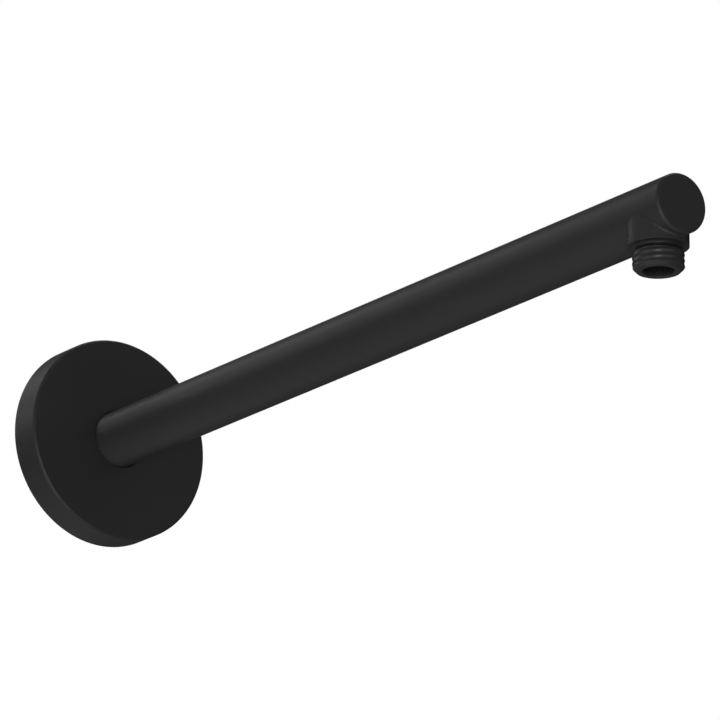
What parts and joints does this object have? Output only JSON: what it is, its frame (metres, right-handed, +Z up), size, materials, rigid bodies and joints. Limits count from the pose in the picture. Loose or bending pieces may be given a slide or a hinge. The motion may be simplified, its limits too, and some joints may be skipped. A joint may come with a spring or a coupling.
{
  "type": "shower arm",
  "caption": "Straight round wall shower arm in matte black, with a sliding round escutcheon, a wall thread and a threaded outlet under its flat end.",
  "frame": {"origin": "on the arm's axis, in the plane of the finished wall", "axes": "+Y into the wall along the arm's axis, +Z up, the outlet pointing along -Z"},
  "size_m": [0.091, 0.4244, 0.091],
  "materials": {
    "matte_black_coat": "fine matte black coat over brass",
    "seal_rubber": "smooth black rubber"
  },
  "bodies": {
    "arm": {"arm_tube": "matte_black_coat", "outlet_head": "matte_black_coat", "wall_nipple": "matte_black_coat"},
    "escutcheon": {"escutcheon": "matte_black_coat", "escutcheon_o_ring": "seal_rubber"}
  },
  "joints": [
    {"name": "escutcheon_slide", "type": "slide", "parent": "arm", "child": "escutcheon", "axis": [0, -1, 0], "range_m": [0, 0.363]}
  ]
}
